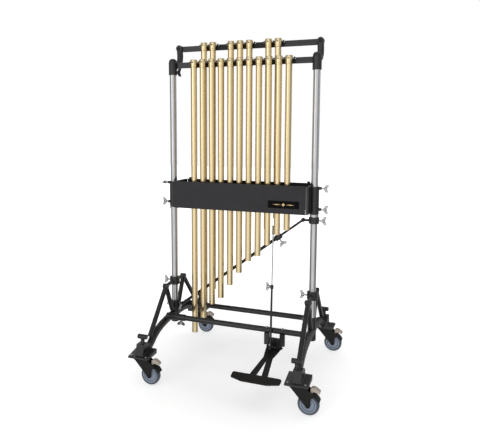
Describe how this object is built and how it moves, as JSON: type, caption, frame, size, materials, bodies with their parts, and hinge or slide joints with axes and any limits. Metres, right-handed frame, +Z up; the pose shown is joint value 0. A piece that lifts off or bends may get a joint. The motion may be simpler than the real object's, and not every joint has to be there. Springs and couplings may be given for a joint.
{
  "type": "orchestral chimes",
  "caption": "Orchestral chimes: two rows of hung brass tubes on a chromed wheeled stand with a damper box, a foot pedal and a pull rod.",
  "frame": {"origin": "centre of the whole stand's bounding box, at floor level under the casters", "axes": "+Z up, +X to the player's right towards the short tubes, the player stands on the -Y side"},
  "size_m": [0.951, 0.8304, 1.728],
  "materials": {
    "brass_tube": "brushed and lacquered, pale gold",
    "chromed_post": "bright chrome",
    "chrome_fitting": "bright chrome",
    "black_frame": "satin black powder coat",
    "black_panel": "satin black powder coat on sheet",
    "caster_tread": "matte blue-grey moulded rubber",
    "brake_lever": "satin beige-grey moulding",
    "damper_felt_bar": "wooden bar faced with dark felt",
    "suspension_cord": "twisted nylon cord, off-white"
  },
  "bodies": {
    "base": {"leg_arch_left": "black_frame", "leg_arch_right": "black_frame", "strut_frame_left": "black_frame", "strut_frame_right": "black_frame", "crossbar_front": "black_frame", "crossbar_rear": "black_frame", "pedal_bracket": "black_frame"},
    "upper_frame": {"post_left": "chromed_post", "post_right": "chromed_post", "top_bracket_left": "black_frame", "top_bracket_right": "black_frame", "front_rail": "black_frame", "rear_rail": "black_frame", "damper_panel_front": "black_panel", "damper_panel_back": "black_panel", "damper_box_end_left": "black_frame", "damper_box_end_right": "black_frame", "brace_collar": "black_frame"},
    "chime_tube_front_01": {"chime_tube_front_01": "brass_tube"},
    "chime_tube_front_02": {"chime_tube_front_02": "brass_tube"},
    "chime_tube_front_03": {"chime_tube_front_03": "brass_tube"},
    "chime_tube_front_04": {"chime_tube_front_04": "brass_tube"},
    "chime_tube_front_05": {"chime_tube_front_05": "brass_tube"},
    "chime_tube_front_06": {"chime_tube_front_06": "brass_tube"},
    "chime_tube_front_07": {"chime_tube_front_07": "brass_tube"},
    "chime_tube_front_08": {"chime_tube_front_08": "brass_tube"},
    "chime_tube_front_09": {"chime_tube_front_09": "brass_tube"},
    "chime_tube_front_10": {"chime_tube_front_10": "brass_tube"},
    "chime_tube_front_11": {"chime_tube_front_11": "brass_tube"},
    "chime_tube_rear_01": {"chime_tube_rear_01": "brass_tube"},
    "chime_tube_rear_02": {"chime_tube_rear_02": "brass_tube"},
    "chime_tube_rear_03": {"chime_tube_rear_03": "brass_tube"},
    "chime_tube_rear_04": {"chime_tube_rear_04": "brass_tube"},
    "chime_tube_rear_05": {"chime_tube_rear_05": "brass_tube"},
    "chime_tube_rear_06": {"chime_tube_rear_06": "brass_tube"},
    "chime_tube_rear_07": {"chime_tube_rear_07": "brass_tube"},
    "pedal": {"pedal": "black_frame"},
    "pull_rod_lower": {"pull_rod_lower": "black_frame"},
    "pull_rod_upper": {"pull_rod_upper": "chrome_fitting"},
    "damper_bar_front": {"damper_bar_front": "damper_felt_bar"},
    "damper_bar_rear": {"damper_bar_rear": "damper_felt_bar"},
    "pull_link": {"damper_pull_link": "black_frame"},
    "brace_tube": {"brace_tube": "black_frame"},
    "brace_rod": {"brace_rod": "black_frame"},
    "caster_fork_front_left": {"caster_fork_front_left": "black_frame"},
    "caster_wheel_front_left": {"caster_wheel_front_left": "caster_tread"},
    "caster_brake_front_left": {"caster_brake_front_left": "brake_lever"},
    "caster_fork_front_right": {"caster_fork_front_right": "black_frame"},
    "caster_wheel_front_right": {"caster_wheel_front_right": "caster_tread"},
    "caster_brake_front_right": {"caster_brake_front_right": "brake_lever"},
    "caster_fork_rear_left": {"caster_fork_rear_left": "black_frame"},
    "caster_wheel_rear_left": {"caster_wheel_rear_left": "caster_tread"},
    "caster_brake_rear_left": {"caster_brake_rear_left": "brake_lever"},
    "caster_fork_rear_right": {"caster_fork_rear_right": "black_frame"},
    "caster_wheel_rear_right": {"caster_wheel_rear_right": "caster_tread"},
    "caster_brake_rear_right": {"caster_brake_rear_right": "brake_lever"},
    "post_clamp_screw_left": {"post_clamp_screw_left": "chrome_fitting"},
    "post_clamp_screw_right": {"post_clamp_screw_right": "chrome_fitting"},
    "brace_collar_screw": {"brace_collar_screw": "chrome_fitting"},
    "brace_clamp_screw": {"brace_clamp_screw": "chrome_fitting"}
  },
  "joints": [
    {"name": "frame_height", "type": "slide", "parent": "base", "child": "upper_frame", "axis": [0, 0, 1], "range_m": [0, 0.05]},
    {"name": "swing_front_01", "type": "hinge", "parent": "upper_frame", "child": "chime_tube_front_01", "pos_m": [-0.2815, -0.0008, 1.615], "axis": [1, 0, 0], "range_deg": [-1.3, 0]},
    {"name": "swing_front_02", "type": "hinge", "parent": "upper_frame", "child": "chime_tube_front_02", "pos_m": [-0.2305, -0.0008, 1.615], "axis": [1, 0, 0], "range_deg": [-1.3, 0]},
    {"name": "swing_front_03", "type": "hinge", "parent": "upper_frame", "child": "chime_tube_front_03", "pos_m": [-0.1795, -0.0008, 1.615], "axis": [1, 0, 0], "range_deg": [-1.3, 0]},
    {"name": "swing_front_04", "type": "hinge", "parent": "upper_frame", "child": "chime_tube_front_04", "pos_m": [-0.1285, -0.0008, 1.615], "axis": [1, 0, 0], "range_deg": [-1.3, 0]},
    {"name": "swing_front_05", "type": "hinge", "parent": "upper_frame", "child": "chime_tube_front_05", "pos_m": [-0.0775, -0.0008, 1.615], "axis": [1, 0, 0], "range_deg": [-1.3, 0]},
    {"name": "swing_front_06", "type": "hinge", "parent": "upper_frame", "child": "chime_tube_front_06", "pos_m": [-0.0265, -0.0008, 1.615], "axis": [1, 0, 0], "range_deg": [-1.3, 0]},
    {"name": "swing_front_07", "type": "hinge", "parent": "upper_frame", "child": "chime_tube_front_07", "pos_m": [0.0245, -0.0008, 1.615], "axis": [1, 0, 0], "range_deg": [-1.3, 0]},
    {"name": "swing_front_08", "type": "hinge", "parent": "upper_frame", "child": "chime_tube_front_08", "pos_m": [0.0755, -0.0008, 1.615], "axis": [1, 0, 0], "range_deg": [-1.3, 0]},
    {"name": "swing_front_09", "type": "hinge", "parent": "upper_frame", "child": "chime_tube_front_09", "pos_m": [0.1265, -0.0008, 1.615], "axis": [1, 0, 0], "range_deg": [-1.3, 0]},
    {"name": "swing_front_10", "type": "hinge", "parent": "upper_frame", "child": "chime_tube_front_10", "pos_m": [0.1775, -0.0008, 1.615], "axis": [1, 0, 0], "range_deg": [-1.3, 0]},
    {"name": "swing_front_11", "type": "hinge", "parent": "upper_frame", "child": "chime_tube_front_11", "pos_m": [0.2285, -0.0008, 1.615], "axis": [1, 0, 0], "range_deg": [-1.3, 0]},
    {"name": "swing_rear_01", "type": "hinge", "parent": "upper_frame", "child": "chime_tube_rear_01", "pos_m": [-0.256, 0.0772, 1.713], "axis": [1, 0, 0], "range_deg": [0, 1.3]},
    {"name": "swing_rear_02", "type": "hinge", "parent": "upper_frame", "child": "chime_tube_rear_02", "pos_m": [-0.205, 0.0772, 1.713], "axis": [1, 0, 0], "range_deg": [0, 1.3]},
    {"name": "swing_rear_03", "type": "hinge", "parent": "upper_frame", "child": "chime_tube_rear_03", "pos_m": [-0.103, 0.0772, 1.713], "axis": [1, 0, 0], "range_deg": [0, 1.3]},
    {"name": "swing_rear_04", "type": "hinge", "parent": "upper_frame", "child": "chime_tube_rear_04", "pos_m": [-0.052, 0.0772, 1.713], "axis": [1, 0, 0], "range_deg": [0, 1.3]},
    {"name": "swing_rear_05", "type": "hinge", "parent": "upper_frame", "child": "chime_tube_rear_05", "pos_m": [-0.001, 0.0772, 1.713], "axis": [1, 0, 0], "range_deg": [0, 1.3]},
    {"name": "swing_rear_06", "type": "hinge", "parent": "upper_frame", "child": "chime_tube_rear_06", "pos_m": [0.101, 0.0772, 1.713], "axis": [1, 0, 0], "range_deg": [0, 1.3]},
    {"name": "swing_rear_07", "type": "hinge", "parent": "upper_frame", "child": "chime_tube_rear_07", "pos_m": [0.152, 0.0772, 1.713], "axis": [1, 0, 0], "range_deg": [0, 1.3]},
    {"name": "pedal_press", "type": "hinge", "parent": "base", "child": "pedal", "pos_m": [0.1965, -0.1028, 0.18], "axis": [1, 0, 0], "range_deg": [0, 7.5], "stiffness_Nm_per_rad": 9, "springref_deg": -34.38},
    {"name": "pull_rod_travel", "type": "slide", "parent": "base", "child": "pull_rod_lower", "axis": [-0.0684, 0.2973, 0.9523], "range_m": [-0.0061, 0]},
    {"name": "pull_link_travel", "type": "slide", "parent": "upper_frame", "child": "pull_link", "axis": [0, 0, 1], "range_m": [-0.0058, 0]},
    {"name": "damper_front_release", "type": "slide", "parent": "upper_frame", "child": "damper_bar_front", "axis": [0, 1, 0], "range_m": [0, 0.0052]},
    {"name": "damper_rear_release", "type": "slide", "parent": "upper_frame", "child": "damper_bar_rear", "axis": [0, 1, 0], "range_m": [-0.0052, 0]},
    {"name": "pull_rod_extend", "type": "slide", "parent": "pull_rod_lower", "child": "pull_rod_upper", "axis": [-0.0684, 0.2973, 0.9523], "range_m": [0, 0.0526]},
    {"name": "brace_swing", "type": "hinge", "parent": "base", "child": "brace_tube", "pos_m": [-0.3825, 0.0462, 0.287], "axis": [0, -1, 0], "range_deg": [0, 2.6]},
    {"name": "brace_extend", "type": "slide", "parent": "brace_tube", "child": "brace_rod", "axis": [0.7941, 0, 0.6078], "range_m": [0, 0.0318]},
    {"name": "caster_swivel_front_left", "type": "hinge", "parent": "base", "child": "caster_fork_front_left", "pos_m": [-0.4205, -0.3388, 0.125], "axis": [0, 0, 1], "continuous": true},
    {"name": "wheel_spin_front_left", "type": "hinge", "parent": "caster_fork_front_left", "child": "caster_wheel_front_left", "pos_m": [-0.3715, -0.3388, 0.05], "axis": [0, 1, 0], "continuous": true},
    {"name": "brake_press_front_left", "type": "hinge", "parent": "caster_fork_front_left", "child": "caster_brake_front_left", "pos_m": [-0.3705, -0.3388, 0.116], "axis": [0, 1, 0], "range_deg": [0, 10]},
    {"name": "caster_swivel_front_right", "type": "hinge", "parent": "base", "child": "caster_fork_front_right", "pos_m": [0.3735, -0.3388, 0.125], "axis": [0, 0, 1], "continuous": true},
    {"name": "wheel_spin_front_right", "type": "hinge", "parent": "caster_fork_front_right", "child": "caster_wheel_front_right", "pos_m": [0.4225, -0.3388, 0.05], "axis": [0, 1, 0], "continuous": true},
    {"name": "brake_press_front_right", "type": "hinge", "parent": "caster_fork_front_right", "child": "caster_brake_front_right", "pos_m": [0.4235, -0.3388, 0.116], "axis": [0, 1, 0], "range_deg": [0, 10]},
    {"name": "caster_swivel_rear_left", "type": "hinge", "parent": "base", "child": "caster_fork_rear_left", "pos_m": [-0.4205, 0.3692, 0.125], "axis": [0, 0, 1], "continuous": true},
    {"name": "wheel_spin_rear_left", "type": "hinge", "parent": "caster_fork_rear_left", "child": "caster_wheel_rear_left", "pos_m": [-0.3715, 0.3692, 0.05], "axis": [0, 1, 0], "continuous": true},
    {"name": "brake_press_rear_left", "type": "hinge", "parent": "caster_fork_rear_left", "child": "caster_brake_rear_left", "pos_m": [-0.3705, 0.3692, 0.116], "axis": [0, 1, 0], "range_deg": [0, 10]},
    {"name": "caster_swivel_rear_right", "type": "hinge", "parent": "base", "child": "caster_fork_rear_right", "pos_m": [0.3735, 0.3692, 0.125], "axis": [0, 0, 1], "continuous": true},
    {"name": "wheel_spin_rear_right", "type": "hinge", "parent": "caster_fork_rear_right", "child": "caster_wheel_rear_right", "pos_m": [0.4225, 0.3692, 0.05], "axis": [0, 1, 0], "continuous": true},
    {"name": "brake_press_rear_right", "type": "hinge", "parent": "caster_fork_rear_right", "child": "caster_brake_rear_right", "pos_m": [0.4235, 0.3692, 0.116], "axis": [0, 1, 0], "range_deg": [0, 10]},
    {"name": "post_clamp_screw_left_turn", "type": "hinge", "parent": "base", "child": "post_clamp_screw_left", "pos_m": [-0.4393, 0.0152, 0.431], "axis": [-1, 0, 0], "range_deg": [0, 180]},
    {"name": "post_clamp_screw_right_turn", "type": "hinge", "parent": "base", "child": "post_clamp_screw_right", "pos_m": [0.3353, 0.0152, 0.431], "axis": [-1, 0, 0], "range_deg": [0, 180]},
    {"name": "brace_collar_screw_turn", "type": "hinge", "parent": "upper_frame", "child": "brace_collar_screw", "pos_m": [0.3903, 0.0152, 0.8175], "axis": [1, 0, 0], "range_deg": [0, 180]},
    {"name": "brace_clamp_screw_turn", "type": "hinge", "parent": "brace_tube", "child": "brace_clamp_screw", "pos_m": [0.18281, 0.0462, 0.70012], "axis": [0.6078, 0, -0.7941], "range_deg": [0, 180]}
  ],
  "couplings": [
    {"joint": "pull_rod_travel", "follows": "pedal_press", "m_per_rad": -0.0455},
    {"joint": "pull_link_travel", "follows": "pedal_press", "m_per_rad": -0.0433},
    {"joint": "damper_front_release", "follows": "pedal_press", "m_per_rad": 0.038},
    {"joint": "damper_rear_release", "follows": "pedal_press", "m_per_rad": -0.038},
    {"joint": "pull_rod_extend", "follows": "frame_height", "ratio": 1.05},
    {"joint": "brace_swing", "follows": "frame_height", "rad_per_m": 0.89},
    {"joint": "brace_extend", "follows": "frame_height", "ratio": 0.6254}
  ]
}
